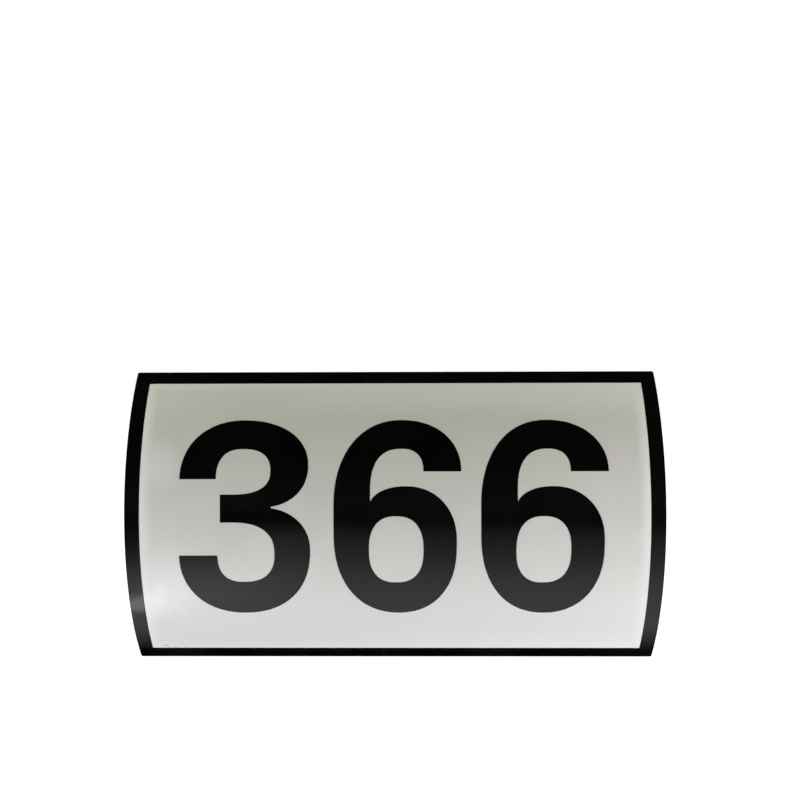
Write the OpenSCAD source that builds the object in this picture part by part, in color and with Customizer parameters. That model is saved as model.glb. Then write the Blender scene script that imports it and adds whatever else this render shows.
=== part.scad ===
// Pole number plate: an aluminium sheet rolled to the pole, with a reflective face, a black border and
// a number cut from black film. +X runs along the number, +Z is up and the front faces -Y. The origin is
// the middle of the back, where the crown of the hollow touches the pole.

/* [Sheet] */
// Length of the plate, along the number
plate_length = 400; // [350:1:600]
// Width of the sheet while it is still flat
sheet_width = 240; // [190:1:300]
// Thickness of the aluminium
sheet_thickness = 1.5; // [0.8:0.1:3]
// Diameter of the pole that the hollow back seats on
pole_diameter = 350; // [240:1:600]
// Radius of the sheared corners
corner_radius = 1.5; // [0.5:0.1:6]

/* [Band slots] */
// Length of a slot from end to end
slot_length = 16; // [10:0.5:30]
// Width of a slot, which is also the diameter of its round ends
slot_width = 6.5; // [4:0.5:9]
// Distance from the end of the plate to the middle of a slot
slot_end_inset = 18; // [17:0.5:50]
// Distance from the long edge to the middle of a slot, on the flat sheet
slot_edge_inset = 10; // [6:0.5:30]

/* [Films] */
// Thickness of the reflective sheeting with its adhesive
film_thickness = 0.3; // [0.2:0.05:0.6]
// Thickness of the black film
black_film_thickness = 0.15; // [0.08:0.01:0.3]
// Width of the black border
border_width = 11; // [6:0.1:14]

/* [Number] */
// Height of the figures, measured on the face
figure_height = 150; // [80:1:155]
// Height of the number's middle over the middle of the plate
number_rise = 2.8; // [-4:0.1:4]
// Place of the number's middle, to the right of the middle of the plate
number_shift = -0.7; // [-2:0.1:2]
// Gap between the first figure and the second
first_gap = 17.5; // [8:0.5:20]
// Gap between the second figure and the third
second_gap = 14.5; // [8:0.5:20]

/* [Figure three, drawn 150 high] */
// Width over the lower bowl
three_width = 97.5; // [94:0.5:100]
// Width over the upper bowl
three_upper_width = 96; // [92:0.5:100]
// Place of the arches' crowns from the left edge
three_crown_x = 47; // [44:0.5:52]
// Inset of the upper arch's left end
three_upper_inset = 0.5; // [0:0.5:4]
// Height of the cut that ends the upper arch
three_upper_cut = 105; // [98:0.5:110]
// Height of the cut that ends the lower arch
three_lower_cut = 48; // [42:0.5:54]
// Height of the notch between the bowls
three_waist = 84; // [81:0.5:88]
// Place where the notch's two curves would meet
three_notch_x = 61; // [54:0.5:66]
// Height of the upper bowl's widest point
three_upper_middle = 114.5; // [108:0.5:120]
// Height of the lower bowl's widest point
three_lower_middle = 52.5; // [44:0.5:58]
// Thickness of the top arch
three_top = 22.5; // [18:0.5:26]
// Thickness of the bottom arch
three_foot = 27; // [20:0.5:30]
// Thickness of the upper bowl at its side
three_upper_side = 28; // [22:0.5:31]
// Thickness of the lower bowl at its side
three_lower_side = 26.5; // [22:0.5:31]
// Thickness of the upper arch where it is cut
three_upper_end = 27; // [22:0.5:31]
// Thickness of the lower arch where it is cut
three_lower_end = 28.5; // [22:0.5:31]
// Place of the middle bar's end
three_bar_x = 31; // [24:0.5:36]
// Place where the bar's straight edges turn into the bowls
three_bar_run = 39.5; // [37:0.5:44]
// Height of the middle bar's lower edge
three_bar_foot = 73; // [68:0.5:78]
// Thickness of the middle bar
three_bar = 20.5; // [16:0.5:24]

/* [Figure six, drawn 150 high] */
// Width over the top arch
six_width = 94.5; // [92:0.5:98]
// Width over the bowl
six_bowl_width = 91; // [86:0.5:94]
// Place of the top arch's crown from the left edge
six_crown_x = 50; // [46:0.5:54]
// Height of the cut that ends the top arch
six_cut = 110.5; // [105:0.5:116]
// Height where the outer left side starts to curve in at the top
six_shoulder = 85.5; // [78:0.5:95]
// Height where the inner left side starts to curve in at the top
six_inner_shoulder = 96; // [93:0.5:105]
// Height where the outer left side starts to curve in at the bottom
six_heel = 63.5; // [54:0.5:70]
// Place of the lowest point from the left edge
six_foot_x = 48; // [44:0.5:52]
// Height where the bowl's right side starts to curve in at the bottom
six_bowl_heel = 54; // [46:0.5:58]
// Height where the bowl's right side starts to curve in at the top
six_bowl_shoulder = 59.5; // [58:0.5:68]
// Place of the bowl's crown from the left edge
six_bowl_crown_x = 53.5; // [51.5:0.5:54]
// Height of the bowl's crown
six_bowl_top = 99.5; // [96:0.5:102]
// Height of the middle of the curve that leaves the stem
six_bowl_left_y = 83; // [78:0.5:86]
// Reach of the curve that leaves the stem, left from the bowl's crown
six_bowl_reach = 27.5; // [27:0.5:32]
// Thickness of the top arch
six_top = 22.5; // [18:0.5:26]
// Thickness of the stem beside the opening
six_stem = 27; // [26.5:0.5:31]
// Thickness of the top arch where it is cut
six_end = 28; // [22:0.5:31]
// Thickness of the stem beside the counter
six_counter_left = 26; // [22:0.5:30]
// Thickness of the bowl at its right side
six_side = 24.5; // [20:0.5:28]
// Thickness of the bottom of the bowl
six_foot = 26.5; // [20:0.5:30]
// Height of the counter's top
six_counter_top = 77.5; // [72:0.5:80]

/* [Hidden] */

// The figures are drawn at this height and scaled to the height that is asked for
drawn_height = 150;
figure_scale = figure_height / drawn_height;
// Fullness of the curves: 2 is an ellipse, and more is squarer
outer_fullness = 2.15;
inner_fullness = 2.45;
curve_steps = 16;
// The notch's curves stop at this angle, short of where they would meet, and a straight cut joins them
notch_angle = 79;

rolled_facets = 360;
round_facets = 48;
cut_margin = 1;

back_radius = pole_diameter / 2;
neutral_radius = back_radius + sheet_thickness / 2;
sheet_face_radius = back_radius + sheet_thickness;
film_face_radius = sheet_face_radius + film_thickness;
black_face_radius = film_face_radius + black_film_thickness;
sheet_angle = degrees_round(sheet_width, neutral_radius);
window_angle = sheet_angle - degrees_round(2 * border_width, film_face_radius);

number_width = (three_width + 2 * six_width) * figure_scale + first_gap + second_gap;
hundreds_left = number_shift - number_width / 2;
tens_left = hundreds_left + three_width * figure_scale + first_gap;
units_left = tens_left + six_width * figure_scale + second_gap;
number_foot = number_rise - figure_height / 2;

// Angle that a length covers on a round surface of a radius
function degrees_round(length, radius) = length / radius * 180 / PI;

// One coordinate of a full curve, from the cosine or sine of its angle
function fullness_of(ratio, fullness) = sign(ratio) * pow(abs(ratio), 2 / fullness);

// Points of a curve about a middle with two half-widths, from one angle to another
function bow(middle, half, from, to, fullness) = [
    for (i = [0 : curve_steps])
        let (angle = from + (to - from) * i / curve_steps)
        middle + [half.x * fullness_of(cos(angle), fullness), half.y * fullness_of(sin(angle), fullness)]
];

// The outline without a point that repeats the next one
function without_repeats(points) = [
    for (i = [0 : len(points) - 1])
        if (norm(points[i] - points[(i + 1) % len(points)]) > 0.001) points[i]
];

// A drawn outline at its size and place on the flat face
function placed(points, left) = [for (p = points) [left, number_foot] + p * figure_scale];

// The same outline seen from the front once the face is rolled
function rolled_points(points) = [
    for (p = points) [p.x, film_face_radius * sin(degrees_round(p.y, film_face_radius))]
];

// Outline of the figure three, clockwise from the cut that ends its upper arch
function three_outline() =
    let (
        arch_top = drawn_height - three_top,
        bar_top = three_bar_foot + three_bar,
        upper_hollow = (bar_top + arch_top) / 2,
        lower_hollow = (three_foot + three_bar_foot) / 2,
        upper_inner_x = three_upper_width - three_upper_side,
        lower_inner_x = three_width - three_lower_side
    )
    without_repeats(concat(
        bow([three_crown_x, three_upper_cut],
            [three_crown_x - three_upper_inset, drawn_height - three_upper_cut], 180, 90, outer_fullness),
        bow([three_crown_x, three_upper_middle],
            [three_upper_width - three_crown_x, drawn_height - three_upper_middle], 90, 0, outer_fullness),
        bow([three_notch_x, three_upper_middle],
            [three_upper_width - three_notch_x, three_upper_middle - three_waist],
            0, -notch_angle, outer_fullness),
        bow([three_notch_x, three_lower_middle],
            [three_width - three_notch_x, three_waist - three_lower_middle], notch_angle, 0, outer_fullness),
        bow([three_crown_x, three_lower_middle],
            [three_width - three_crown_x, three_lower_middle], 0, -90, outer_fullness),
        bow([three_crown_x, three_lower_cut],
            [three_crown_x, three_lower_cut], -90, -180, outer_fullness),
        bow([three_crown_x, three_lower_cut],
            [three_crown_x - three_lower_end, three_lower_cut - three_foot], 180, 270, inner_fullness),
        bow([three_crown_x, lower_hollow],
            [lower_inner_x - three_crown_x, lower_hollow - three_foot], -90, 0, inner_fullness),
        bow([three_bar_run, lower_hollow],
            [lower_inner_x - three_bar_run, three_bar_foot - lower_hollow], 0, 90, inner_fullness),
        [[three_bar_x, three_bar_foot], [three_bar_x, bar_top]],
        bow([three_bar_run, upper_hollow],
            [upper_inner_x - three_bar_run, upper_hollow - bar_top], -90, 0, inner_fullness),
        bow([three_crown_x, upper_hollow],
            [upper_inner_x - three_crown_x, arch_top - upper_hollow], 0, 90, inner_fullness),
        bow([three_crown_x, three_upper_cut],
            [three_crown_x - three_upper_inset - three_upper_end, arch_top - three_upper_cut],
            90, 180, inner_fullness)
    ));

// Outline of the figure six without its counter, clockwise from the top of its stem
function six_outline() =
    let (
        arch_top = drawn_height - six_top,
        leave_ratio = pow((six_bowl_crown_x - six_stem) / six_bowl_reach, outer_fullness / 2)
    )
    without_repeats(concat(
        bow([six_crown_x, six_shoulder],
            [six_crown_x, drawn_height - six_shoulder], 180, 90, outer_fullness),
        bow([six_crown_x, six_cut],
            [six_width - six_crown_x, drawn_height - six_cut], 90, 0, outer_fullness),
        bow([six_crown_x, six_cut],
            [six_width - six_end - six_crown_x, arch_top - six_cut], 0, 90, inner_fullness),
        bow([six_crown_x, six_inner_shoulder],
            [six_crown_x - six_stem, arch_top - six_inner_shoulder], 90, 180, inner_fullness),
        bow([six_bowl_crown_x, six_bowl_left_y],
            [six_bowl_reach, six_bowl_top - six_bowl_left_y], 180 - acos(leave_ratio), 90, outer_fullness),
        bow([six_bowl_crown_x, six_bowl_shoulder],
            [six_bowl_width - six_bowl_crown_x, six_bowl_top - six_bowl_shoulder], 90, 0, outer_fullness),
        bow([six_foot_x, six_bowl_heel],
            [six_bowl_width - six_foot_x, six_bowl_heel], 0, -90, outer_fullness),
        bow([six_foot_x, six_heel],
            [six_foot_x, six_heel], -90, -180, outer_fullness)
    ));

// Outline of the six's counter, a full curve in four quarters
function six_counter() =
    let (
        right = six_bowl_width - six_side,
        middle = [(six_counter_left + right) / 2, (six_counter_top + six_foot) / 2],
        half = [(right - six_counter_left) / 2, (six_counter_top - six_foot) / 2]
    )
    without_repeats([for (quarter = [0 : 3])
        each bow(middle, half, quarter * 90, quarter * 90 + 90, inner_fullness)]);

// Part of a pipe wall about the pole's axis, with its crown facing -Y and its length along X
module rolled_wall(inner_radius, outer_radius, length, angle) {
    translate([0, back_radius, 0])
        rotate([0, 90, 0])
            rotate([0, 0, 270 - angle / 2])
                rotate_extrude(angle = angle, $fn = rolled_facets)
                    translate([inner_radius, -length / 2])
                        square([outer_radius - inner_radius, length]);
}

// Stands its children on the face at a place on the flat sheet, with their +Z pointing out of the front
module on_face(x, across) {
    translate([0, back_radius, 0])
        rotate([-degrees_round(across, neutral_radius), 0, 0])
            translate([x, -sheet_face_radius, 0])
                rotate([90, 0, 0])
                    children();
}

// Punch for one slot, square to the sheet
module slot_punch() {
    half_run = (slot_length - slot_width) / 2;
    depth = sheet_thickness + 2 * cut_margin;
    translate([0, 0, -sheet_thickness - cut_margin]) {
        for (side = [-1, 1]) {
            translate([side * half_run, 0, 0])
                cylinder(d = slot_width, h = depth, $fn = round_facets);
        }
        translate([-half_run, -slot_width / 2, 0])
            cube([2 * half_run, slot_width, depth]);
    }
}

// What comes off an upper right corner to round it, through the sheet and its films
module corner_offcut() {
    depth = black_face_radius - back_radius + 2 * cut_margin;
    translate([-corner_radius, -corner_radius, -sheet_thickness - cut_margin])
        difference() {
            cube([corner_radius + cut_margin, corner_radius + cut_margin, depth]);
            translate([0, 0, -cut_margin])
                cylinder(r = corner_radius, h = depth + 2 * cut_margin, $fn = round_facets);
        }
}

// All four corners' offcuts, in their places
module corner_offcuts() {
    for (side = [-1, 1], edge = [-1, 1]) {
        on_face(side * plate_length / 2, edge * sheet_width / 2)
            mirror([side < 0 ? 1 : 0, 0, 0])
                mirror([0, edge < 0 ? 1 : 0, 0])
                    corner_offcut();
    }
}

// A figure cut from black film, from its drawn shape, lying on the reflective face
module film_figure() {
    reach = black_face_radius - back_radius + cut_margin;
    intersection() {
        rolled_wall(film_face_radius, black_face_radius, plate_length - 2 * border_width, window_angle);
        rotate([90, 0, 0])
            translate([0, 0, -back_radius])
                linear_extrude(height = back_radius + reach)
                    children();
    }
}

// The shape of a six at a place along the number
module six_shape(left) {
    difference() {
        polygon(rolled_points(placed(six_outline(), left)));
        polygon(rolled_points(placed(six_counter(), left)));
    }
}

module base_plate() {
    slot_x = plate_length / 2 - slot_end_inset;
    slot_across = sheet_width / 2 - slot_edge_inset;
    color("lightgray")
        difference() {
            rolled_wall(back_radius, sheet_face_radius, plate_length, sheet_angle);
            corner_offcuts();
            for (side = [-1, 1], edge = [-1, 1]) {
                on_face(side * slot_x, edge * slot_across)
                    slot_punch();
            }
        }
}

module reflective_film() {
    color("gainsboro")
        difference() {
            rolled_wall(sheet_face_radius, film_face_radius, plate_length, sheet_angle);
            corner_offcuts();
        }
}

module black_border() {
    window_length = plate_length - 2 * border_width;
    color([0.06, 0.06, 0.06])
        difference() {
            rolled_wall(film_face_radius, black_face_radius, plate_length, sheet_angle);
            rolled_wall(film_face_radius - cut_margin, black_face_radius + cut_margin,
                window_length, window_angle);
            corner_offcuts();
        }
}

module digit_hundreds() {
    color([0.06, 0.06, 0.06])
        film_figure()
            polygon(rolled_points(placed(three_outline(), hundreds_left)));
}

module digit_tens() {
    color([0.06, 0.06, 0.06])
        film_figure()
            six_shape(tens_left);
}

module digit_units() {
    color([0.06, 0.06, 0.06])
        film_figure()
            six_shape(units_left);
}

base_plate();
reflective_film();
black_border();
digit_hundreds();
digit_tens();
digit_units();
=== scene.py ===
"""Looks of a pole number plate: rolled sheet, reflective film, black border and black figures.

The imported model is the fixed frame. +X runs along the number, +Z is up and the front faces -Y. The origin
is the crown of the hollow back. Lengths are in metres. Every layer is drawn flat, filled, given its
thickness and rounded rims, scored, and rolled about the pole's axis, as the real plate is made.
"""

from __future__ import annotations

import logging
import math
from abc import ABC, abstractmethod
from dataclasses import dataclass, field
from enum import Enum
from typing import Any

import bmesh
import bpy
from mathutils import Euler, Matrix, Quaternion, Vector


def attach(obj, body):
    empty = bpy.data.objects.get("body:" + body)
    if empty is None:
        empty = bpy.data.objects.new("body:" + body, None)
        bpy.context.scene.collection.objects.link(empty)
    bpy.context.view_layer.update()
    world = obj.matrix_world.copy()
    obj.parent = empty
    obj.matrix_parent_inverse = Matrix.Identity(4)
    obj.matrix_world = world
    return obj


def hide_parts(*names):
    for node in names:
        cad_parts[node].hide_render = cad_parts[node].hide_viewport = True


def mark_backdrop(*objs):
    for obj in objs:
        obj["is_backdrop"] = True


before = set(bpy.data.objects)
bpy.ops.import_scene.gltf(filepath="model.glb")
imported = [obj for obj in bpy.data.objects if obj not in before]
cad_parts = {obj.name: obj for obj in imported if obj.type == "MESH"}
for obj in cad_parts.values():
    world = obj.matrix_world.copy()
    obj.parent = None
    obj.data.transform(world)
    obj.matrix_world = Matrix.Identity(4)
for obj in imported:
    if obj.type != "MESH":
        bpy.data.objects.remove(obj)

LOG = logging.getLogger("number_plate")
CUT_EDGE = "cut_edge"
MM = 0.001
MEAN = 0.5          # mean level of every noise
ROUND = 0.5         # profile of a round bevel
PLAIN_GLOSS = 0.5   # specular level of common plastics
UNIT_SQUARE = 0.5   # size that gives a grid with sides of 1
TOUCHING = 1e-6     # points closer than this are one
LEVEL = 1e-7        # a rise below this is none

Triple = tuple[float, float, float]
Pair = tuple[float, float]
Sockets = dict[str | int, Any]
Ramp = tuple[float, ...]    # low, high and, where they aren't 0 and 1, start and stop

EVEN: Triple = (1.0, 1.0, 1.0)
ORIGIN: Triple = (0.0, 0.0, 0.0)


@dataclass(frozen=True)
class Grain:
    """Noise in a piece's own coordinates: features per metre, stretch, octaves, their weight, a shift."""

    scale: float
    stretch: Triple = EVEN
    detail: float = 2.0
    roughness: float = 0.5
    shift: Triple = ORIGIN


@dataclass(frozen=True)
class Patch:
    """Soft patch of another tone: its middle, its reach, how ragged its outline is, and its share."""

    middle: Triple
    reach: float
    ragged: float
    share: float
    core: float = 0.1


class Term:
    """One number of a shader, held as a socket that Python's operators work on."""

    def __init__(self, graph: Graph, socket: bpy.types.NodeSocket) -> None:
        """Keep the output socket that holds the number, and its graph."""
        self.graph = graph
        self.socket = socket

    def _maths(self, operation: str, first: Any, second: Any = 0.0) -> Term:
        """Give the result of one Math node on two Terms or numbers."""
        node = self.graph.node("ShaderNodeMath", {"operation": operation}, {0: first, 1: second})
        return Term(self.graph, node.outputs[0])

    def __add__(self, other: Any) -> Term:
        """Return self + other."""
        return self._maths("ADD", self, other)

    def __radd__(self, other: Any) -> Term:
        """Return other + self."""
        return self._maths("ADD", other, self)

    def __sub__(self, other: Any) -> Term:
        """Return self - other."""
        return self._maths("SUBTRACT", self, other)

    def __rsub__(self, other: Any) -> Term:
        """Return other - self."""
        return self._maths("SUBTRACT", other, self)

    def __mul__(self, other: Any) -> Term:
        """Return self * other."""
        return self._maths("MULTIPLY", self, other)

    def __rmul__(self, other: Any) -> Term:
        """Return other * self."""
        return self._maths("MULTIPLY", other, self)

    def __truediv__(self, other: Any) -> Term:
        """Return self / other."""
        return self._maths("DIVIDE", self, other)

    def __rtruediv__(self, other: Any) -> Term:
        """Return other / self."""
        return self._maths("DIVIDE", other, self)

    def __abs__(self) -> Term:
        """Return the absolute value."""
        return self._maths("ABSOLUTE", self)

    def at_least(self, other: Any) -> Term:
        """Return the larger of self and other."""
        return self._maths("MAXIMUM", self, other)

    def at_most(self, other: Any) -> Term:
        """Return the smaller of self and other."""
        return self._maths("MINIMUM", self, other)

    def ramp(self, low: float, high: float, start: float = 0.0, stop: float = 1.0) -> Term:
        """Carry a range of this number softly onto another range, held at its ends.

        Args:
            low: Value that gives start.
            high: Value that gives stop.
            start: Result at low.
            stop: Result at high.

        Returns:
            The mapped number.
        """
        settings = {"interpolation_type": "SMOOTHSTEP", "clamp": True}
        sockets = {"Value": self, "From Min": low, "From Max": high, "To Min": start, "To Max": stop}
        return self.graph.number("ShaderNodeMapRange", settings, sockets, "Result")


class Graph:
    """The nodes of one material or world."""

    def __init__(self, tree: bpy.types.NodeTree) -> None:
        """Empty the node tree and keep it."""
        self.tree = tree
        self.tree.nodes.clear()

    def node(self, kind: str, settings: dict[str, Any] | None = None,
             sockets: Sockets | None = None) -> bpy.types.Node:
        """Add one node, set it up and connect it.

        Args:
            kind: Blender's name of the node type.
            settings: Node settings, set first. The key stops gives a ramp's (position, colour) pairs.
            sockets: Term, socket or plain value for each input, by name or number.

        Returns:
            The new node.
        """
        node = self.tree.nodes.new(kind)
        for name, value in (settings or {}).items():
            if name == "stops":
                for index, (position, colour) in enumerate(value):
                    stops = node.color_ramp.elements
                    stop = stops[index] if index < 2 else stops.new(position)
                    stop.position, stop.color = position, (*colour, 1.0)
            else:
                setattr(node, name, value)
        for name, value in (sockets or {}).items():
            if isinstance(value, Term):
                value = value.socket
            if isinstance(value, bpy.types.NodeSocket):
                self.tree.links.new(value, node.inputs[name])
            else:
                node.inputs[name].default_value = value
        return node

    def number(self, kind: str, settings: dict[str, Any] | None = None,
               sockets: Sockets | None = None, output: str | int = 0) -> Term:
        """Add one node, as node() does, and give one of its outputs, by name or number, as a Term."""
        return Term(self, self.node(kind, settings, sockets).outputs[output])

    def mix(self, share: Term, first: Any, second: Any) -> bpy.types.NodeSocket:
        """Blend two colours.

        Args:
            share: Share of the second colour.
            first: Colour or colour socket at share 0.
            second: Colour or colour socket at share 1.

        Returns:
            The blended colour.
        """
        first, second = ((*c, 1.0) if isinstance(c, tuple) and len(c) == 3 else c for c in (first, second))
        node = self.node("ShaderNodeMix", {"data_type": "RGBA"}, {0: share, 6: first, 7: second})
        return node.outputs[2]

    def place(self, stretch: Triple = EVEN, shift: Triple = ORIGIN) -> bpy.types.NodeSocket:
        """Give the object's own coordinates, stretched for a pattern.

        Args:
            stretch: Factor on each axis; a smaller one draws the pattern out.
            shift: Where the pattern is centred.

        Returns:
            The coordinates.
        """
        source = self.node("ShaderNodeTexCoord").outputs["Object"]
        sockets = {"Vector": source, "Scale": stretch, "Location": shift}
        return self.node("ShaderNodeMapping", {"vector_type": "POINT"}, sockets).outputs["Vector"]

    def axes(self) -> tuple[Term, Term, Term]:
        """Give the object's own x, y and z as three numbers."""
        source = self.node("ShaderNodeTexCoord").outputs["Object"]
        node = self.node("ShaderNodeSeparateXYZ", None, {"Vector": source})
        x, y, z = node.outputs
        return Term(self, x), Term(self, y), Term(self, z)

    def noise(self, grain: Grain) -> Term:
        """Give soft noise about MEAN, of the given grain, in the object's own coordinates."""
        sockets = {"Vector": self.place(grain.stretch, grain.shift), "Scale": grain.scale,
                   "Detail": grain.detail, "Roughness": grain.roughness}
        return self.number("ShaderNodeTexNoise", {"noise_dimensions": "3D"}, sockets)

    def cells(self, scale: float, stretch: Triple, randomness: float) -> Term:
        """Give how far each place lies from the middle of its cell.

        Args:
            scale: Cells per metre before the stretch.
            stretch: Factor on each axis.
            randomness: How far the cells stray from a grid.

        Returns:
            The distance, in cells.
        """
        sockets = {"Vector": self.place(stretch), "Scale": scale, "Randomness": randomness}
        return self.number("ShaderNodeTexVoronoi", {"feature": "F1"}, sockets, "Distance")

    def spot(self, patch: Patch, noise: Term, stretch: Triple = EVEN) -> Term:
        """Give a patch that fades out from its middle.

        Args:
            patch: The patch.
            noise: Noise that makes its outline ragged.
            stretch: Factor on each axis.

        Returns:
            Its share, full in its middle and 0 beyond its reach.
        """
        ends = {0: self.place(stretch), 1: patch.middle}
        far = self.number("ShaderNodeVectorMath", {"operation": "DISTANCE"}, ends, "Value")
        uneven = (noise - MEAN) * patch.ragged
        return (far + uneven).ramp(patch.reach, patch.reach * patch.core) * patch.share

    def cut_edge(self) -> Term:
        """Give 1 where the cut laid the layer's edge bare, and 0 on its faces."""
        return self.number("ShaderNodeAttribute", {"attribute_name": CUT_EDGE}, None, "Fac")

    def light_path(self) -> tuple[Term, Term]:
        """Give 1 on rays of the camera and through glass, and 1 on mirrored rays."""
        path = self.node("ShaderNodeLightPath")
        seen, through, mirror = (Term(self, path.outputs[name])
                                 for name in ("Is Camera Ray", "Is Transmission Ray", "Is Glossy Ray"))
        return seen + through, mirror

    def bump(self, height: Term, relief: Pair,
             under: bpy.types.NodeSocket | None = None) -> bpy.types.NodeSocket:
        """Turn a height into a normal.

        Args:
            height: Height between 0 and 1.
            relief: Share of the full effect, and what a height of 1 is in metres.
            under: Normal that this one is laid over.

        Returns:
            The normal.
        """
        strength, distance = relief
        sockets: Sockets = {"Strength": strength, "Distance": distance, "Height": height}
        if under is not None:
            sockets["Normal"] = under
        return self.node("ShaderNodeBump", None, sockets).outputs["Normal"]


class Finish(ABC):
    """A surface finish, made once and shared by the pieces that have it."""

    title: str

    @abstractmethod
    def paint(self, graph: Graph) -> Sockets:
        """Give the values and links of the Principled shader's sockets.

        Args:
            graph: Graph of the material.

        Returns:
            Socket names with their values or links.
        """

    def material(self) -> bpy.types.Material:
        """Make the finish's material, or give it again if it is made.

        Returns:
            The material.
        """
        made = bpy.data.materials.get(self.title)
        if made is not None:
            return made
        made = bpy.data.materials.new(self.title)
        made.use_nodes = True
        graph = Graph(made.node_tree)
        shader = graph.node("ShaderNodeBsdfPrincipled", None, self.paint(graph))
        graph.node("ShaderNodeOutputMaterial", None, {"Surface": shader.outputs[0]})
        return made


@dataclass(frozen=True)
class MillAluminium(Finish):
    """Bare sheet from the mill: rolling lines, faint clouds, stained corners, specks and sheared edges."""

    title: str = "mill_aluminium_finish"
    cool: Triple = (0.805, 0.812, 0.808)
    warm: Triple = (0.735, 0.745, 0.722)
    line: Triple = (0.56, 0.56, 0.55)
    brown: Triple = (0.50, 0.47, 0.40)
    green: Triple = (0.64, 0.66, 0.53)
    sheared: Triple = (0.62, 0.63, 0.63)
    nick: Triple = (0.08, 0.075, 0.07)
    clouds: Grain = Grain(9.0, (0.6, 1.0, 1.5), 4.0)
    blotches: Grain = Grain(46.0, (0.5, 1.0, 1.4), 4.0, 0.6, (3.0, 1.0, 7.0))
    lines: Grain = Grain(900.0, (0.012, 1.0, 1.0), 3.0, 0.6)
    streaks: Grain = Grain(150.0, (0.03, 1.0, 1.0), 3.0, 0.55, (1.0, 3.0, 4.0))
    grain: Grain = Grain(2600.0, (0.05, 1.0, 1.0), shift=(9.0, 2.0, 5.0))
    rarity: Grain = Grain(13.0, detail=0.0, shift=(4.0, 4.0, 1.0))
    scratches: Grain = Grain(1500.0, (0.02, 1.0, 1.0), 0.0, shift=(2.0, 6.0, 3.0))
    tears: Grain = Grain(900.0, (1.0, 0.2, 0.2), 3.0, shift=(1.0, 8.0, 2.0))
    nicks: Grain = Grain(120.0, (1.0, 0.3, 0.3), shift=(5.0, 1.0, 2.0))
    waves: Grain = Grain(17.0, (0.5, 1.0, 1.0), 1.0)
    brown_corner: Patch = Patch((0.2, 0.039, -0.111), 0.115, 0.08, 0.65)
    green_corner: Patch = Patch((-0.2, 0.039, -0.111), 0.085, 0.08, 0.45)
    tone_weights: Triple = (0.55, 0.20, 0.25)
    tone_range: Ramp = (0.36, 0.64)
    line_range: Ramp = (0.02, 0.2)
    line_share: float = 0.14
    mark_scale: float = 27.5
    mark_stretch: Triple = (1.0, 1.0, 2.2)
    mark_range: Ramp = (0.022, 0.012)
    mark_share: float = 0.6
    rare_range: Ramp = (0.53, 0.60)
    scratch_range: Ramp = (0.76, 0.82)
    scratch_share: float = 0.12
    tear_range: Ramp = (0.35, 0.7)
    tear_share: float = 0.4
    nick_range: Ramp = (0.64, 0.72)
    nick_share: float = 0.3
    roughness: float = 0.36
    roughest: float = 0.75
    cloud_roughness: float = 0.08
    line_roughness: float = 0.10
    mark_roughness: float = 0.2
    stain_roughness: float = 0.14
    cut_roughness: float = 0.08
    stain_dullness: float = 0.35
    line_height: float = 0.6
    grain_height: float = 0.4
    tear_height: float = 2.0
    fine_relief: Pair = (0.30, 0.00005)
    broad_relief: Pair = (0.25, 0.0008)

    def paint(self, graph: Graph) -> Sockets:
        """Give the bare metal's sockets; see the base class."""
        clouds, blotches = graph.noise(self.clouds), graph.noise(self.blotches)
        lines, streaks, grain = graph.noise(self.lines), graph.noise(self.streaks), graph.noise(self.grain)
        cloudy, blotchy, streaky = self.tone_weights
        tone = (clouds * cloudy + blotches * blotchy + streaks * streaky).ramp(*self.tone_range)
        colour = graph.mix(tone, self.warm, self.cool)
        colour = graph.mix((lines - MEAN).ramp(*self.line_range) * self.line_share, colour, self.line)
        brown = graph.spot(self.brown_corner, blotches)
        green = graph.spot(self.green_corner, blotches)
        colour = graph.mix(green, graph.mix(brown, colour, self.brown), self.green)
        rare = graph.noise(self.rarity).ramp(*self.rare_range)
        marks = graph.cells(self.mark_scale, self.mark_stretch, 1.0).ramp(*self.mark_range) * rare
        scratches = graph.noise(self.scratches).ramp(*self.scratch_range) * rare
        colour = graph.mix(marks * self.mark_share + scratches * self.scratch_share, colour, self.nick)
        cut, tears = graph.cut_edge(), graph.noise(self.tears)
        nicks = graph.noise(self.nicks).ramp(*self.nick_range) * self.nick_share
        edge = graph.mix(tears.ramp(*self.tear_range) * self.tear_share + nicks, self.sheared, self.nick)
        colour = graph.mix(cut, colour, edge)
        rough = (self.roughness + clouds * self.cloud_roughness + lines * self.line_roughness
                 + marks * self.mark_roughness + brown * self.stain_roughness + cut * self.cut_roughness)
        torn = cut * (tears - MEAN) * self.tear_height
        height = lines * self.line_height + grain * self.grain_height + torn
        fine = graph.bump(height, self.fine_relief)
        broad = graph.bump(graph.noise(self.waves), self.broad_relief, fine)
        return {"Base Color": colour, "Metallic": 1.0 - brown * self.stain_dullness,
                "Roughness": rough.at_most(self.roughest), "Normal": broad}


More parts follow.
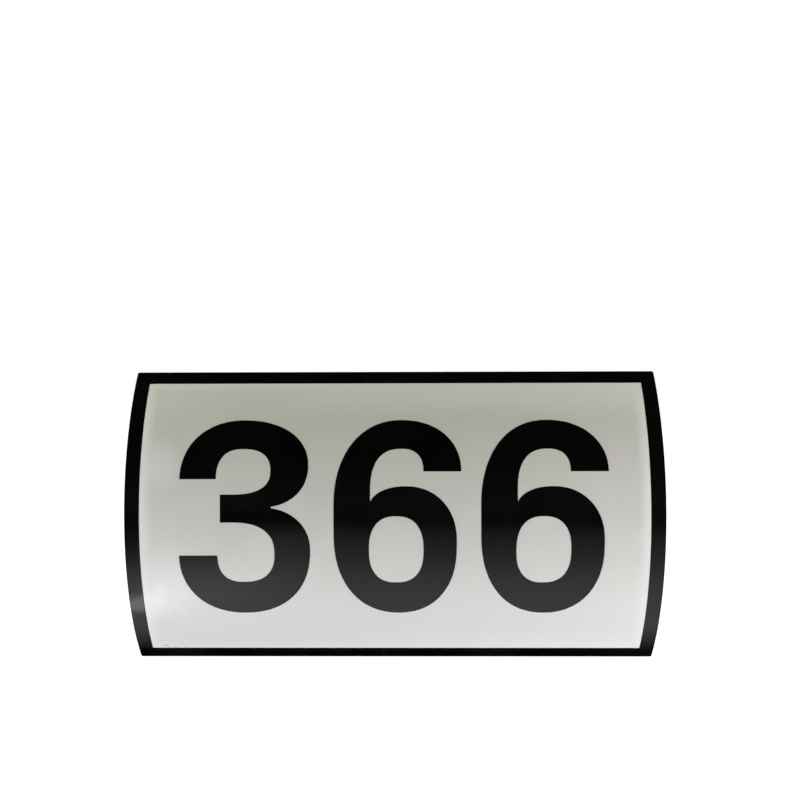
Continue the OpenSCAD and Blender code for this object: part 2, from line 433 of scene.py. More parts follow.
@dataclass(frozen=True)
class ReflectiveSheeting(Finish):
    """Silver-white bead sheeting: pearly ground, clear face, olive clouds, painted warm light above and
    cool below.
    """

    title: str = "reflective_sheeting_finish"
    pearl: Triple = (0.775, 0.757, 0.727)
    shade: Triple = (0.735, 0.723, 0.688)
    # olive tint: partly the film's own cloudy tone, partly painted warm light from above
    olive: Triple = (0.745, 0.751, 0.674)
    # painted highlight: paler tint along the top of the film, where light from above falls
    painted_top_highlight: Triple = (0.930, 0.935, 0.865)
    # painted highlight: pale tone of the sheen spots on the film's left
    painted_sheen: Triple = (0.93, 0.94, 0.93)
    # painted light: cool tint of the light from the floor below, on the lower film
    cool: Triple = (0.772, 0.770, 0.756)
    # painted light: paler tint of the film's lowest band, lit from the floor below
    foot: Triple = (0.925, 0.92, 0.905)
    rim: Triple = (1.00, 1.00, 0.97)
    grain_colour: Triple = (0.55, 0.55, 0.52)
    dirt: Triple = (0.20, 0.19, 0.17)
    clouds: Grain = Grain(17.0, (0.8, 1.0, 1.0), 3.0)
    mottle: Grain = Grain(55.0, (1.0, 0.6, 0.6), 3.0, 0.55, (7.0, 2.0, 1.0))
    patches: Grain = Grain(28.0, (1.0, 1.0, 1.2), shift=(5.0, 5.0, 2.0))
    grain: Grain = Grain(1500.0, roughness=0.6)
    dots: Grain = Grain(620.0, (1.0, 1.0, 0.7), 1.0, shift=(2.0, 0.0, 5.0))
    waves: Grain = Grain(22.0, (1.0, 0.5, 0.5), 1.0)
    # painted highlights: a sheen streak low on the left and a bright patch at the left side
    painted_sheen_spots: tuple[Patch, ...] = (Patch((-0.166, 0.0, -0.042), 0.034, 0.03, 0.50),
                                Patch((-0.178, 0.0, 0.043), 0.026, 0.03, 0.55),
                                Patch((-0.179, 0.0, -0.0598), 0.020, 0.02, 0.55))
    flat: Triple = (1.0, 0.0, 1.0)
    tone_weights: Pair = (0.6, 0.4)
    tone_range: Ramp = (0.36, 0.64)
    uneven_weights: Pair = (0.16, 0.04)
    uneven_foot: float = 0.5
    side_drop: Ramp = (0.10, 0.17, 0.0, 0.045)
    patch_range: Ramp = (0.40, 0.60, 0.55, 1.0)
    painted_warm_light_rise: Ramp = (0.010, 0.055)
    painted_top_highlight_rise: Ramp = (0.072, 0.098)
    painted_top_highlight_side: Ramp = (-0.12, -0.02, 0.5, 1.0)
    painted_cool_light_fall: Ramp = (-0.030, -0.075)
    painted_lower_light_fall: Ramp = (-0.078, -0.104)
    painted_lower_light_side: Ramp = (-0.12, 0.06, 0.25, 0.8)
    window_half_length: float = 0.1890
    window_half_height: float = 0.10280
    window_slant: float = 1.25
    rim_fade: Ramp = (0.0105, -0.001)
    rim_edge: Ramp = (-0.001, 0.0002)
    rim_rise: Ramp = (-0.06, 0.05, 0.45, 0.95)
    bead_scale: float = 5200.0
    bead_randomness: float = 0.9
    grain_range: Ramp = (0.35, 0.7)
    grain_share: float = 0.035
    speck_x: float = -0.169
    speck_z: float = -0.1012
    speck_half: Pair = (0.014, 0.0016)
    speck_fade: Ramp = (1.0, 0.75)
    dot_range: Ramp = (0.60, 0.66)
    dirt_share: float = 0.75
    pole_radius: float = 0.175
    back: float = 0.17655
    front: float = 0.17675
    roughness: float = 0.36
    cloud_roughness: float = 0.10
    bead_roughness: float = 0.04
    dirt_roughness: float = 0.2
    bead_height: float = 0.6
    grain_height: float = 0.4
    fine_relief: Pair = (0.16, 0.00004)
    broad_relief: Pair = (0.25, 0.0006)
    metal: float = 0.10
    clear_face: float = 0.5
    clear_roughness: float = 0.22

    def print_tone(self, graph: Graph, clouds: Term, mottle: Term) -> bpy.types.NodeSocket:
        """Lay the sheeting's tones, some of them painted light and painted highlights, over one another, up
        to its pale rim.

        Args:
            graph: Graph of the material.
            clouds: Broad noise.
            mottle: Finer noise.

        Returns:
            The colour before grain and dirt.
        """
        x, _, z = graph.axes()
        cloudy, mottled = self.tone_weights
        tone = (clouds * cloudy + mottle * mottled).ramp(*self.tone_range)
        colour = graph.mix(tone, self.shade, self.pearl)
        cloudy, mottled = self.uneven_weights
        uneven = (clouds - MEAN) * cloudy + (mottle - MEAN) * mottled
        upper = z + uneven - abs(x).ramp(*self.side_drop)
        patches = graph.noise(self.patches).ramp(*self.patch_range)
        # olive clouds over the upper film: partly the film's own tone, partly painted warm light from above
        colour = graph.mix(upper.ramp(*self.painted_warm_light_rise) * patches, colour, self.olive)
        # painted highlight: the film lightened along its top edge, half as much at the left
        colour = graph.mix(z.ramp(*self.painted_top_highlight_rise) * x.ramp(*self.painted_top_highlight_side), colour, self.painted_top_highlight)
        # painted light: the lower film tinted cool, as the light from the floor below falls on it
        colour = graph.mix((z + uneven * self.uneven_foot).ramp(*self.painted_cool_light_fall), colour, self.cool)
        # painted light from below: the film's lowest band lightened, more towards the right
        colour = graph.mix(z.ramp(*self.painted_lower_light_fall) * x.ramp(*self.painted_lower_light_side), colour, self.foot)
        # painted highlights: pale sheen spots on the film's left, low, at the side and near the foot
        low, side, foot = (graph.spot(patch, mottle, self.flat) for patch in self.painted_sheen_spots)
        colour = graph.mix((low + side + foot).at_most(1.0), colour, self.painted_sheen)
        inset_z = (self.window_half_height - abs(z)) * self.window_slant
        inset = (self.window_half_length - abs(x)).at_most(inset_z)
        lighter = inset.ramp(*self.rim_fade) * inset.ramp(*self.rim_edge)
        return graph.mix(lighter * z.ramp(*self.rim_rise), colour, self.rim)

    def specks(self, graph: Graph) -> Term:
        """Give the dirt that lies on the front of the sheeting at its lower left.

        Args:
            graph: Graph of the material.

        Returns:
            The share of dirt.
        """
        x, y, z = graph.axes()
        half_x, half_z = self.speck_half
        near = (abs(x - self.speck_x) / half_x).at_least(abs(z - self.speck_z) / half_z)
        depth = y - self.pole_radius
        outside = (depth * depth + z * z).ramp(self.back ** 2, self.front ** 2)
        return graph.noise(self.dots).ramp(*self.dot_range) * near.ramp(*self.speck_fade) * outside

    def paint(self, graph: Graph) -> Sockets:
        """Give the sheeting's sockets; see the base class."""
        clouds, mottle, grain = graph.noise(self.clouds), graph.noise(self.mottle), graph.noise(self.grain)
        bead = graph.cells(self.bead_scale, EVEN, self.bead_randomness)
        colour = self.print_tone(graph, clouds, mottle)
        colour = graph.mix(grain.ramp(*self.grain_range) * self.grain_share, colour, self.grain_colour)
        specks = self.specks(graph)
        colour = graph.mix(specks * self.dirt_share, colour, self.dirt)
        rough = (self.roughness + clouds * self.cloud_roughness + (bead - MEAN) * self.bead_roughness
                 + specks * self.dirt_roughness)
        fine = graph.bump(bead * self.bead_height + grain * self.grain_height, self.fine_relief)
        broad = graph.bump(graph.noise(self.waves), self.broad_relief, fine)
        return {"Base Color": colour, "Metallic": self.metal, "Roughness": rough,
                "Coat Weight": self.clear_face, "Coat Roughness": self.clear_roughness,
                "Specular IOR Level": PLAIN_GLOSS, "Normal": broad}


@dataclass(frozen=True)
class BlackFilm(Finish):
    """Glossy cut film: deep black with a faint orange-peel face, haze, dust and a duller cut edge."""

    title: str = "black_film_finish"
    deep: Triple = (0.0004, 0.0006, 0.0003)
    hazy: Triple = (0.0011, 0.0013, 0.0009)
    bare: Triple = (0.020, 0.020, 0.019)
    dusty: Triple = (0.10, 0.10, 0.095)
    haze: Grain = Grain(24.0, (1.0, 1.0, 0.6), 4.0, 0.6, (6.0, 3.0, 2.0))
    dust: Grain = Grain(700.0, detail=1.0, shift=(3.0, 9.0, 4.0))
    peel: Grain = Grain(260.0, roughness=0.45)
    waves: Grain = Grain(30.0, (1.0, 0.5, 0.5), 1.0, shift=(8.0, 1.0, 6.0))
    haze_range: Ramp = (0.4, 0.65)
    dust_range: Ramp = (0.79, 0.84)
    dust_share: float = 0.08
    roughness: float = 0.11
    haze_roughness: Ramp = (0.35, 0.7, 0.0, 0.06)
    dust_roughness: float = 0.2
    cut_roughness: float = 0.25
    fine_relief: Pair = (0.10, 0.00005)
    broad_relief: Pair = (0.20, 0.0004)

    def paint(self, graph: Graph) -> Sockets:
        """Give the black film's sockets; see the base class."""
        haze = graph.noise(self.haze)
        dust = graph.noise(self.dust).ramp(*self.dust_range)
        cut = graph.cut_edge()
        colour = graph.mix(haze.ramp(*self.haze_range), self.deep, self.hazy)
        colour = graph.mix(dust * self.dust_share, colour, self.dusty)
        colour = graph.mix(cut, colour, self.bare)
        rough = (self.roughness + haze.ramp(*self.haze_roughness) + dust * self.dust_roughness
                 + cut * self.cut_roughness)
        fine = graph.bump(graph.noise(self.peel), self.fine_relief)
        broad = graph.bump(graph.noise(self.waves), self.broad_relief, fine)
        return {"Base Color": colour, "Metallic": 0.0, "Roughness": rough,
                "Specular IOR Level": PLAIN_GLOSS, "Normal": broad}


class Fullness(Enum):
    """How squarely the quarter curves of a figure turn; 2 is an ellipse."""

    OUTER = 2.15
    INNER = 2.45


@dataclass
class Pen:
    """Draws one closed outline on the flat film, piece after piece."""

    mesh: bmesh.types.BMesh
    left: float
    foot: float
    unit: float = MM
    steps: int = 18
    first: bmesh.types.BMVert | None = None
    last: bmesh.types.BMVert | None = None

    def _join(self, start: bmesh.types.BMVert, stop: bmesh.types.BMVert) -> None:
        """Carry the line from where the pen is to a new stretch.

        Args:
            start: First vertex of the stretch.
            stop: Last vertex of the stretch.
        """
        if self.last is not None:
            self.mesh.edges.new((self.last, start))
        self.first = self.first or start
        self.last = stop

    def line(self, x: float, y: float) -> None:
        """Draw a straight line to a point given in the figure's own units."""
        place = (self.left + x * self.unit, self.foot + y * self.unit, 0.0)
        vertex = bmesh.ops.create_vert(self.mesh, co=place)["vert"][0]
        self._join(vertex, vertex)

    def bow(self, middle: Pair, half: Pair, start: float, stop: float, fullness: Fullness) -> None:
        """Draw a stretch of a full curve, spun as a plain arc and then filled out.

        Args:
            middle: Centre of the curve in the figure's own units.
            half: Half of its width and of its height.
            start: Angle at which it starts, in degrees.
            stop: Angle at which it stops, in degrees.
            fullness: How squarely it turns.
        """
        known = set(self.mesh.verts)
        angle = math.radians(start)
        vertex = bmesh.ops.create_vert(self.mesh, co=(math.cos(angle), math.sin(angle), 0.0))["vert"][0]
        spun = bmesh.ops.spin(
            self.mesh, geom=[vertex], cent=(0, 0, 0), axis=(0, 0, 1), dvec=(0, 0, 0),
            angle=math.radians(stop - start), space=Matrix.Identity(4), steps=self.steps, use_merge=False,
            use_normal_flip=False, use_duplicate=False)
        power = 2.0 / fullness.value
        for point in set(self.mesh.verts) - known:
            across, up = (math.copysign(abs(c) ** power, c) if abs(c) > TOUCHING else 0.0
                          for c in point.co[:2])
            point.co = (self.left + (middle[0] + half[0] * across) * self.unit,
                        self.foot + (middle[1] + half[1] * up) * self.unit, 0.0)
        self._join(vertex, spun["geom_last"][0])

    def close(self) -> None:
        """Carry the line back to where it began."""
        self.mesh.edges.new((self.last, self.first))
        self.first = self.last = None


class FigureShape(ABC):
    """Outline of one figure, drawn 150 units high from its lower left corner."""

    @abstractmethod
    def draw(self, pen: Pen) -> None:
        """Draw the figure's outlines.

        Args:
            pen: Pen that draws them.
        """


@dataclass(frozen=True)
class ThreeShape(FigureShape):
    """The figure 3: two arches, a waist notch on the right and a bar that ends in the middle."""

    height: float = 150.0
    width: float = 97.5
    upper_width: float = 96.0
    crown_x: float = 47.0
    upper_inset: float = 0.5
    upper_cut: float = 105.0
    lower_cut: float = 48.0
    waist: float = 84.0
    notch_x: float = 61.0
    notch_angle: float = 79.0
    upper_middle: float = 114.5
    lower_middle: float = 52.5
    top: float = 22.5
    foot: float = 27.0
    upper_side: float = 28.0
    lower_side: float = 26.5
    upper_end: float = 27.0
    lower_end: float = 28.5
    bar_x: float = 31.0
    bar_run: float = 39.5
    bar_foot: float = 73.0
    bar: float = 20.5

    def draw(self, pen: Pen) -> None:
        """Draw the three, clockwise from the cut that ends its upper arch; see the base class."""
        outer, inner = Fullness.OUTER, Fullness.INNER
        arch_top, bar_top = self.height - self.top, self.bar_foot + self.bar
        upper_hollow, lower_hollow = (bar_top + arch_top) / 2, (self.foot + self.bar_foot) / 2
        upper_x, lower_x = self.upper_width - self.upper_side, self.width - self.lower_side
        crown, notch, run = self.crown_x, self.notch_x, self.bar_run
        upper_cut, lower_cut = (crown, self.upper_cut), (crown, self.lower_cut)
        pen.bow(upper_cut, (crown - self.upper_inset, self.height - self.upper_cut), 180, 90, outer)
        pen.bow((crown, self.upper_middle), (self.upper_width - crown, self.height - self.upper_middle),
                90, 0, outer)
        pen.bow((notch, self.upper_middle), (self.upper_width - notch, self.upper_middle - self.waist),
                0, -self.notch_angle, outer)
        pen.bow((notch, self.lower_middle), (self.width - notch, self.waist - self.lower_middle),
                self.notch_angle, 0, outer)
        pen.bow((crown, self.lower_middle), (self.width - crown, self.lower_middle), 0, -90, outer)
        pen.bow(lower_cut, (crown, self.lower_cut), -90, -180, outer)
        pen.bow(lower_cut, (crown - self.lower_end, self.lower_cut - self.foot), 180, 270, inner)
        pen.bow((crown, lower_hollow), (lower_x - crown, lower_hollow - self.foot), -90, 0, inner)
        pen.bow((run, lower_hollow), (lower_x - run, self.bar_foot - lower_hollow), 0, 90, inner)
        pen.line(self.bar_x, self.bar_foot)
        pen.line(self.bar_x, bar_top)
        pen.bow((run, upper_hollow), (upper_x - run, upper_hollow - bar_top), -90, 0, inner)
        pen.bow((crown, upper_hollow), (upper_x - crown, arch_top - upper_hollow), 0, 90, inner)
        pen.bow(upper_cut, (crown - self.upper_inset - self.upper_end, arch_top - self.upper_cut),
                90, 180, inner)
        pen.close()


@dataclass(frozen=True)
class SixShape(FigureShape):
    """The figure 6: a stem that arches over to the right, and a bowl with a full counter."""

    height: float = 150.0
    width: float = 94.5
    bowl_width: float = 91.0
    crown_x: float = 50.0
    cut: float = 110.5
    shoulder: float = 85.5
    inner_shoulder: float = 96.0
    heel: float = 63.5
    foot_x: float = 48.0
    bowl_heel: float = 54.0
    bowl_shoulder: float = 59.5
    bowl_crown_x: float = 53.5
    bowl_top: float = 99.5
    bowl_left_y: float = 83.0
    bowl_reach: float = 27.5
    top: float = 22.5
    stem: float = 27.0
    end: float = 28.0
    counter_left: float = 26.0
    side: float = 24.5
    foot: float = 26.5
    counter_top: float = 77.5

    def draw(self, pen: Pen) -> None:
        """Draw the six, clockwise from the top of its stem, and its counter; see the base class."""
        outer, inner = Fullness.OUTER, Fullness.INNER
        arch_top = self.height - self.top
        crown, bowl, base = self.crown_x, self.bowl_crown_x, self.foot_x
        leave = math.degrees(math.acos(((bowl - self.stem) / self.bowl_reach) ** (outer.value / 2)))
        pen.bow((crown, self.shoulder), (crown, self.height - self.shoulder), 180, 90, outer)
        pen.bow((crown, self.cut), (self.width - crown, self.height - self.cut), 90, 0, outer)
        pen.bow((crown, self.cut), (self.width - self.end - crown, arch_top - self.cut), 0, 90, inner)
        pen.bow((crown, self.inner_shoulder), (crown - self.stem, arch_top - self.inner_shoulder),
                90, 180, inner)
        pen.bow((bowl, self.bowl_left_y), (self.bowl_reach, self.bowl_top - self.bowl_left_y),
                180 - leave, 90, outer)
        pen.bow((bowl, self.bowl_shoulder), (self.bowl_width - bowl, self.bowl_top - self.bowl_shoulder),
                90, 0, outer)
        pen.bow((base, self.bowl_heel), (self.bowl_width - base, self.bowl_heel), 0, -90, outer)
        pen.bow((base, self.heel), (base, self.heel), -90, -180, outer)
        pen.close()
        right = self.bowl_width - self.side
        middle = ((self.counter_left + right) / 2, (self.counter_top + self.foot) / 2)
        half = ((right - self.counter_left) / 2, (self.counter_top - self.foot) / 2)
        for quarter in range(4):
            pen.bow(middle, half, quarter * 90, quarter * 90 + 90, inner)
        pen.close()


@dataclass
class RolledLayer(ABC):
    """One layer of the plate, cut flat and then rolled to the pole with the others."""

    node: str
    slot: str
    finish: Finish
    inner_height: float
    thickness: float
    laid_radius: float
    rim_radius: float
    pole_radius: float = 0.175
    middle_radius: float = 0.17575
    half_blank: float = 0.120
    length: float = 0.4
    corner_radius: float = 0.0015
    corner_steps: int = 6
    rim_steps: int = 3
    band: float = 0.0006
    score_step: float = 0.0015
    rim_angle: float = 1.0
    flat_normal: float = 0.97
    sharp_angle: float = 50.0

    @abstractmethod
    def draw(self, mesh: bmesh.types.BMesh) -> None:
        """Lay the layer's closed outlines on the flat.

        Args:
            mesh: Mesh that gets the outlines' edges.
        """

    @property
    def half_width(self) -> float:
        """Half of the blank's width round the curve, on the surface that the layer is laid on."""
        return self.half_blank * self.laid_radius / self.middle_radius

    def blank(self, mesh: bmesh.types.BMesh) -> None:
        """Lay the plate's own outline on the flat."""
        self.rounded_loop(mesh, (0.0, 0.0), self.length, 2 * self.half_width, self.corner_radius,
                          self.corner_steps)

    def rounded_loop(self, mesh: bmesh.types.BMesh, middle: Pair, length: float, width: float,
                     radius: float, steps: int) -> None:
        """Lay one rectangle with rounded corners on the flat.

        Args:
            mesh: Mesh that gets its edges.
            middle: Its centre.
            length: Its size along the plate.
            width: Its size round the curve.
            radius: Radius of its corners, 0 for sharp ones.
            steps: Steps in each corner.
        """
        matrix = Matrix.Translation((*middle, 0.0)) @ Matrix.Diagonal((length, width, 1.0, 1.0))
        corners = bmesh.ops.create_grid(mesh, x_segments=1, y_segments=1, size=UNIT_SQUARE,
                                       matrix=matrix)["verts"]
        if radius > 0.0:
            bmesh.ops.bevel(mesh, geom=corners, offset=radius, offset_type="OFFSET", segments=steps,
                            profile=ROUND, affect="VERTICES", clamp_overlap=True, material=-1)
        bmesh.ops.delete(mesh, geom=mesh.faces[:], context="FACES_ONLY")

    def thicken(self, mesh: bmesh.types.BMesh) -> None:
        """Fill the outlines, band their rims, and give the layer its thickness.

        Args:
            mesh: Mesh with the outlines.
        """
        bmesh.ops.remove_doubles(mesh, verts=mesh.verts[:], dist=TOUCHING)
        bmesh.ops.triangle_fill(mesh, use_beauty=True, use_dissolve=False, edges=mesh.edges[:],
                                normal=(0, 0, 1))
        bmesh.ops.inset_region(mesh, faces=mesh.faces[:], use_boundary=True, use_even_offset=True,
                               thickness=self.band)
        raised = bmesh.ops.extrude_face_region(mesh, geom=mesh.faces[:])["geom"]
        bmesh.ops.translate(mesh, verts=[v for v in raised if isinstance(v, bmesh.types.BMVert)],
                            vec=(0.0, 0.0, self.thickness))
        bmesh.ops.recalc_face_normals(mesh, faces=mesh.faces[:])

    def round_rims(self, mesh: bmesh.types.BMesh) -> None:
        """Round the rims on both faces and mark what the cut laid bare.

        Args:
            mesh: Flat solid of the layer.
        """
        rims = [edge for edge in mesh.edges if abs(edge.verts[0].co.z - edge.verts[1].co.z) < LEVEL
                and edge.calc_face_angle(0.0) > self.rim_angle]
        bmesh.ops.bevel(mesh, geom=rims, offset=self.rim_radius, offset_type="OFFSET",
                        segments=self.rim_steps, profile=ROUND, affect="EDGES", clamp_overlap=True,
                        loop_slide=False, material=-1)
        mesh.normal_update()
        cut = mesh.loops.layers.float.new(CUT_EDGE)
        for face in mesh.faces:
            for loop in face.loops:
                loop[cut] = 1.0 if abs(face.normal.z) < self.flat_normal else 0.0

    def roll(self, mesh: bmesh.types.BMesh) -> None:
        """Score the flat solid across and bend it about the pole's axis.

        Args:
            mesh: Flat solid of the layer.
        """
        reach = max(abs(vertex.co.y) for vertex in mesh.verts)
        count = int(reach / self.score_step)
        for line in range(-count, count + 1):
            bmesh.ops.bisect_plane(mesh, geom=mesh.verts[:] + mesh.edges[:] + mesh.faces[:], dist=TOUCHING,
                                   plane_co=(0.0, line * self.score_step, 0.0), plane_no=(0.0, 1.0, 0.0))
        for vertex in mesh.verts:
            angle = vertex.co.y / self.laid_radius
            radius = self.pole_radius + self.inner_height + vertex.co.z
            depth = self.pole_radius - radius * math.cos(angle)
            vertex.co = (vertex.co.x, depth, radius * math.sin(angle))

    def build(self) -> bpy.types.Object:
        """Make the layer, dress it and put it in its node's place.

        Returns:
            The finished piece.
        """
        mesh = bmesh.new()
        self.draw(mesh)
        self.thicken(mesh)
        self.round_rims(mesh)
        self.roll(mesh)
        for face in mesh.faces:
            face.smooth = True
        name = f"{self.node}_fine"
        data = bpy.data.meshes.new(name)
        mesh.to_mesh(data)
        mesh.free()
        data.set_sharp_from_angle(angle=math.radians(self.sharp_angle))
        data.materials.append(self.finish.material())
        piece = bpy.data.objects.new(name, data)
        bpy.context.scene.collection.objects.link(piece)
        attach(piece, "root")
        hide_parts(self.node)
        return piece


@dataclass
class PunchedSheet(RolledLayer):
    """The aluminium sheet with a long slot punched near each corner."""

    node: str = "base_plate"
    slot: str = "mill_aluminium"
    finish: Finish = field(default_factory=MillAluminium)
    inner_height: float = 0.0
    thickness: float = 0.0015
    laid_radius: float = 0.17575
    rim_radius: float = 0.0002
    slot_length: float = 0.016
    slot_width: float = 0.0065
    slot_steps: int = 10
    end_inset: float = 0.018
    edge_inset: float = 0.010

    def draw(self, mesh: bmesh.types.BMesh) -> None:
        """Lay the blank's outline and its four slots; see the base class."""
        self.blank(mesh)
        out, high = self.length / 2 - self.end_inset, self.half_width - self.edge_inset
        for side in (-1, 1):
            for up in (-1, 1):
                self.rounded_loop(mesh, (side * out, up * high), self.slot_length, self.slot_width,
                                  self.slot_width / 2, self.slot_steps)


@dataclass
class FilmFace(RolledLayer):
    """The reflective film, stuck all over the front and unbroken over the slots."""

    node: str = "reflective_film"
    slot: str = "reflective_sheeting"
    finish: Finish = field(default_factory=ReflectiveSheeting)
    inner_height: float = 0.0015
    thickness: float = 0.0003
    laid_radius: float = 0.1768
    rim_radius: float = 0.00006

    def draw(self, mesh: bmesh.types.BMesh) -> None:
        """Lay the film's outline; see the base class."""
        self.blank(mesh)


@dataclass
class BlackLayer(RolledLayer):
    """A layer cut from the black film and laid on the reflective one."""

    slot: str = "black_film"
    finish: Finish = field(default_factory=BlackFilm)
    inner_height: float = 0.0018
    thickness: float = 0.00015
    laid_radius: float = 0.1768
    rim_radius: float = 0.00004


@dataclass
class BorderFrame(BlackLayer):
    """The black frame, flush with the edges of the sheet and square inside."""

    node: str = "black_border"
    border_width: float = 0.011

    def draw(self, mesh: bmesh.types.BMesh) -> None:
        """Lay the frame's outer edge and its window; see the base class."""
        self.blank(mesh)
        self.rounded_loop(mesh, (0.0, 0.0), self.length - 2 * self.border_width,
                          2 * (self.half_width - self.border_width), 0.0, 1)


@dataclass
class FigureCut(BlackLayer):
    """One figure of the number."""

    band: float = 0.0003
    shape: FigureShape = field(default_factory=SixShape)
    left: float = 0.0
    foot: float = -0.0722

    def draw(self, mesh: bmesh.types.BMesh) -> None:
        """Lay the figure's outlines; see the base class."""
        self.shape.draw(Pen(mesh, self.left, self.foot))


@dataclass
class NumberRow:
    """The three figures, set as one row about the middle of the plate."""

    first_gap: float = 0.0175
    second_gap: float = 0.0145
    shift: float = -0.0007
    three: ThreeShape = field(default_factory=ThreeShape)
    six: SixShape = field(default_factory=SixShape)

    def figures(self) -> list[FigureCut]:
        """Give the figures from left to right.

        Returns:
            The three figures, not yet built.
        """
        three, six = self.three.width * MM, self.six.width * MM
        left = self.shift - (three + 2 * six + self.first_gap + self.second_gap) / 2
        tens = left + three + self.first_gap
        units = tens + six + self.second_gap
        return [FigureCut(node="digit_hundreds", shape=self.three, left=left),
                FigureCut(node="digit_tens", shape=self.six, left=tens),
                FigureCut(node="digit_units", shape=self.six, left=units)]


@dataclass(frozen=True)
class Softbox:
    """One soft lamp: its name, place, size, power in watts, colour, and what it faces."""

    name: str
    place: Triple
    size: Pair
    power: float
    colour: Triple = EVEN
    target: Triple = ORIGIN
    roll: float = 0.0

    def build(self) -> bpy.types.Object:
        """Make the lamp.

        Returns:
            The lamp's object.
        """
        lamp = bpy.data.lights.new(self.name, "AREA")
        lamp.shape = "RECTANGLE"
        lamp.size, lamp.size_y = self.size
        lamp.energy, lamp.color = self.power, self.colour
        holder = bpy.data.objects.new(self.name, lamp)
        bpy.context.scene.collection.objects.link(holder)
        holder.location = self.place
        aim = Vector(self.target) - Vector(self.place)
        turn = aim.to_track_quat("-Z", "Y") @ Quaternion((0.0, 0.0, 1.0), math.radians(self.roll))
        holder.rotation_euler = turn.to_euler()
        holder.visible_camera = False
        return holder


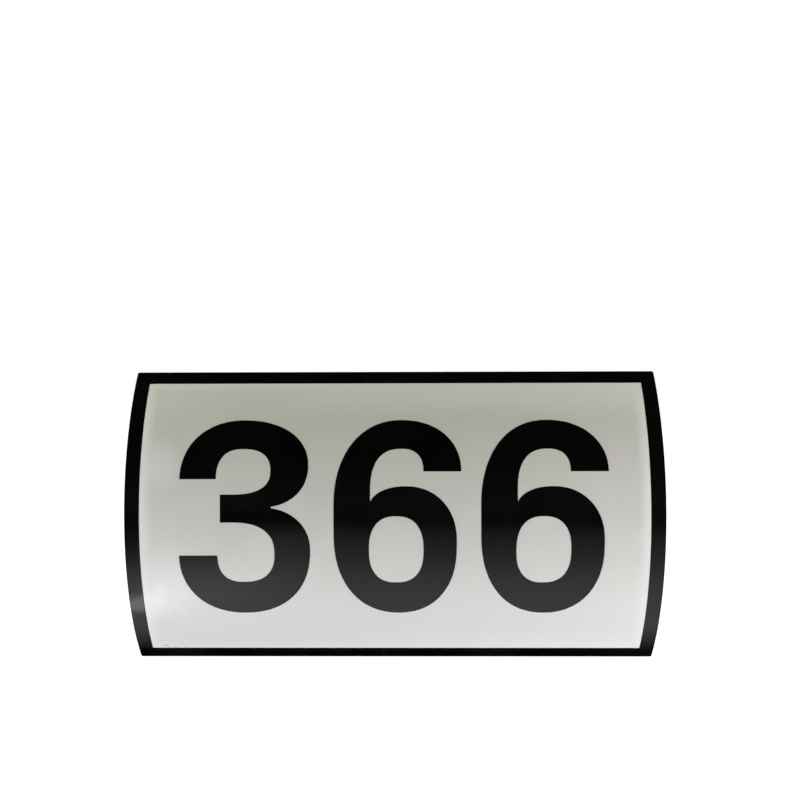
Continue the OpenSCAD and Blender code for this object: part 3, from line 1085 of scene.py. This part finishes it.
@dataclass
class Studio:
    """Pale floor, white surroundings, soft lamps and the photograph's camera."""

    floor_height: float = -0.30
    floor_reach: float = 6.0
    floor_squares: int = 8
    floor_colour: Triple = (0.80, 0.80, 0.80)
    floor_light: Triple = (0.985, 0.985, 1.015)
    brightest: float = 2.0
    pool: tuple[Pair, ...] = (
        (-1.60, 0.045), (-0.90, 0.235), (-0.50, 0.42), (-0.28, 0.77), (-0.15, 0.94), (-0.06, 0.92),
        (0.00, 0.34), (0.028, 0.00), (0.075, 0.00), (0.13, 0.92))
    near_white: Ramp = (0.20, 1.20, 0.70, 1.0)
    glow: float = 0.48
    glow_near: Ramp = (-0.06, -0.24)
    glow_far: Ramp = (-0.40, -0.22)
    glow_depth: Ramp = (-0.08, -0.20)
    left_shade: Ramp = (-0.50, -0.28, 0.30, 1.0)
    floor_behind: Ramp = (0.075, 0.13)
    air_behind: Ramp = (-0.05, 0.45)
    air_rise: Ramp = (0.05, 0.50, 0.80, 0.46)
    mirrored_white: float = 1.12
    room_rise: Ramp = (0.45, 0.0, 0.02, 0.06)
    camera_place: Triple = (0.011663, -0.668276, 0.113951)
    camera_turn: Triple = (88.03544, 0.15627, 0.62007)
    lens: float = 40.8915
    sensor: float = 36.0
    nearest: float = 0.01
    lamps: tuple[Softbox, ...] = (
        Softbox("left_high", (-0.874, -0.284, 0.771), (0.36, 0.36), 4.2, (1.0, 0.99, 0.84)),
        Softbox("right_high", (0.874, -0.284, 0.771), (0.36, 0.36), 3.7, (1.0, 1.0, 0.87)),
        Softbox("left_level", (-0.848, -0.345, -0.240), (0.4, 0.10), 4.0, (0.96, 0.98, 1.0)),
        Softbox("right_level", (0.848, -0.345, -0.240), (0.4, 0.10), 6.0),
        Softbox("low_left", (-0.264, -0.151, -0.285), (0.08, 0.040), 0.025, (1.0, 0.97, 0.93),
                target=(-0.264, -0.131, 0.015), roll=66.0))

    def floor(self) -> bpy.types.Object:
        """Lay the floor. Rays from the plate see a pool of light in front of it and shade beneath it.

        Returns:
            The floor's object.
        """
        mesh = bmesh.new()
        matrix = Matrix.Translation((0.0, 0.0, self.floor_height))
        bmesh.ops.create_grid(mesh, x_segments=self.floor_squares, y_segments=self.floor_squares,
                              size=self.floor_reach, matrix=matrix)
        data = bpy.data.meshes.new("floor")
        mesh.to_mesh(data)
        mesh.free()
        material = bpy.data.materials.new("pale_floor")
        material.use_nodes = True
        graph = Graph(material.node_tree)
        x, y, _ = graph.axes()
        seen, mirror = graph.light_path()
        first, last = self.pool[0][0], self.pool[-1][0]
        reach = last - first
        stops = [((place - first) / reach, (level / self.brightest,) * 3) for place, level in self.pool]
        ramp = graph.node("ShaderNodeValToRGB", {"stops": stops}, {"Fac": (y - first) / reach})
        glow = x.ramp(*self.glow_near) * x.ramp(*self.glow_far) * y.ramp(*self.glow_depth) * self.glow
        pool = Term(graph, ramp.outputs["Color"]) * self.brightest * (1.0 + glow) * x.ramp(*self.left_shade)
        behind = mirror * y.ramp(*self.floor_behind)
        level = behind + (1.0 - behind) * pool
        tint = (*self.floor_light, 1.0)
        light = graph.node("ShaderNodeEmission", None, {"Color": tint, "Strength": level})
        away = (x * x + y * y).ramp(*self.near_white)
        white = graph.node("ShaderNodeEmission", None, {"Strength": away})
        paint = graph.node("ShaderNodeBsdfDiffuse", None, {"Color": (*self.floor_colour, 1.0)})
        shown = graph.node("ShaderNodeAddShader", None, {0: paint.outputs[0], 1: white.outputs[0]})
        both = graph.node("ShaderNodeMixShader", None, {0: seen, 1: light.outputs[0], 2: shown.outputs[0]})
        graph.node("ShaderNodeOutputMaterial", None, {"Surface": both.outputs[0]})
        data.materials.append(material)
        floor = bpy.data.objects.new("floor", data)
        bpy.context.scene.collection.objects.link(floor)
        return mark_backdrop(floor)

    def surroundings(self) -> None:
        """Fill the world: white to the camera, dim in front of the plate and bright behind it."""
        world = bpy.data.worlds.new("surroundings")
        bpy.context.scene.world = world
        world.use_nodes = True
        graph = Graph(world.node_tree)
        heading = graph.node("ShaderNodeTexCoord").outputs["Generated"]
        split = graph.node("ShaderNodeSeparateXYZ", None, {"Vector": heading})
        back, up = Term(graph, split.outputs[1]), Term(graph, split.outputs[2])
        behind = back.ramp(*self.air_behind) * up.ramp(*self.air_rise)
        seen, mirror = graph.light_path()
        white = (seen + mirror * behind * self.mirrored_white).at_most(1.0)
        strength = white + (1.0 - white) * (up.ramp(*self.room_rise) + (1.0 - mirror) * behind)
        light = graph.node("ShaderNodeBackground", None, {"Color": (*EVEN, 1.0), "Strength": strength})
        graph.node("ShaderNodeOutputWorld", None, {"Surface": light.outputs[0]})

    def camera(self) -> bpy.types.Object:
        """Set the camera where the photograph was taken from.

        Returns:
            The camera's object.
        """
        data = bpy.data.cameras.new("camera")
        data.lens, data.sensor_width, data.sensor_fit = self.lens, self.sensor, "HORIZONTAL"
        data.clip_start = self.nearest
        camera = bpy.data.objects.new("camera", data)
        bpy.context.scene.collection.objects.link(camera)
        camera.location = self.camera_place
        camera.rotation_euler = Euler([math.radians(angle) for angle in self.camera_turn], "XYZ")
        bpy.context.scene.camera = camera
        return camera

    def build(self) -> None:
        """Make the whole studio."""
        bpy.context.scene.view_settings.view_transform = "Standard"
        self.floor()
        self.surroundings()
        for lamp in self.lamps:
            lamp.build()
            LOG.info("lamp %s, %.2f W", lamp.name, lamp.power)
        self.camera()


def corners(box: tuple[Vector, Vector]) -> list[list[float]]:
    """Give a box's lowest and highest corner as plain lists of numbers."""
    return [[float(value) for value in corner] for corner in box]


def main() -> None:
    """Build every piece in order, then the studio."""
    logging.basicConfig(level=logging.INFO, format="%(name)s: %(message)s")
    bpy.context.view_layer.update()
    for layer in [PunchedSheet(), FilmFace(), BorderFrame(), *NumberRow().figures()]:
        piece = layer.build()
        LOG.info("%s: %d faces, finish %s", piece.name, len(piece.data.polygons), layer.finish.title)
    Studio().build()


if __name__ == "__main__":
    main()
